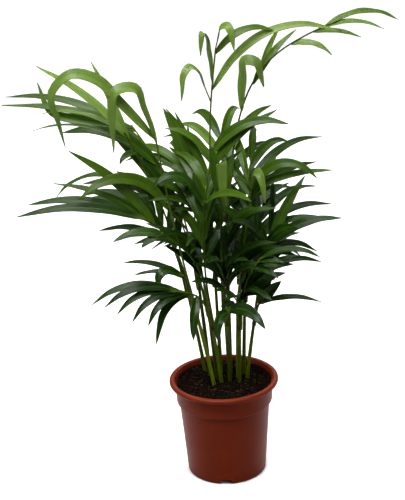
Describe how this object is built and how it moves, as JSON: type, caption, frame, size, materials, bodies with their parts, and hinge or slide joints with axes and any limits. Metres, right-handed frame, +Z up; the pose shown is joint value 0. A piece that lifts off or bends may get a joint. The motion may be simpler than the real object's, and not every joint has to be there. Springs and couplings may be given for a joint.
{
  "type": "potted palm",
  "caption": "Young feather palm with clustered canes and arching fronds, growing in a round tapered plastic nursery pot with a rolled rim.",
  "frame": {"origin": "centre of the pot's underside", "axes": "+Z up along the pot's axis, -Y towards the display side"},
  "size_m": [0.422, 0.2659, 0.4994],
  "materials": {
    "pot_plastic": "satin moulded terracotta-coloured plastic",
    "compost": "rough, granular and fibrous",
    "cane_sheath": "satin leaf sheath, finely ribbed",
    "leaf": "semi-gloss, ribbed along its length"
  },
  "bodies": {
    "root": {"pot": "pot_plastic", "soil": "compost", "cane_01": "cane_sheath", "cane_02": "cane_sheath", "cane_03": "cane_sheath", "cane_04": "cane_sheath", "cane_05": "cane_sheath", "cane_06": "cane_sheath", "cane_07": "cane_sheath", "cane_08": "cane_sheath", "cane_09": "cane_sheath", "cane_10": "cane_sheath", "cane_11": "cane_sheath", "cane_12": "cane_sheath", "cane_13": "cane_sheath", "cane_14": "cane_sheath", "frond_left_arch": "leaf", "frond_left_long": "leaf", "frond_left_fan": "leaf", "frond_left_broad": "leaf", "frond_left_arcs": "leaf", "frond_left_low": "leaf", "frond_left_dark": "leaf", "frond_low_left_small": "leaf", "frond_low_left": "leaf", "frond_low_centre": "leaf", "frond_low_right": "leaf", "frond_right_thin": "leaf", "frond_right_fan": "leaf", "frond_right_high": "leaf", "frond_crossing": "leaf", "frond_centre_tall": "leaf", "frond_centre_folded": "leaf", "frond_upright_left": "leaf", "frond_top": "leaf", "frond_top_right": "leaf", "frond_inner_01": "leaf", "frond_inner_02": "leaf", "frond_inner_03": "leaf", "frond_inner_04": "leaf", "frond_inner_05": "leaf", "frond_inner_06": "leaf", "frond_inner_07": "leaf", "frond_inner_08": "leaf", "frond_inner_09": "leaf", "frond_inner_10": "leaf", "frond_inner_11": "leaf", "frond_inner_12": "leaf", "frond_inner_13": "leaf", "frond_inner_14": "leaf", "frond_inner_15": "leaf", "frond_inner_16": "leaf", "frond_inner_17": "leaf", "frond_inner_18": "leaf", "frond_inner_19": "leaf", "frond_inner_20": "leaf"}
  },
  "joints": []
}
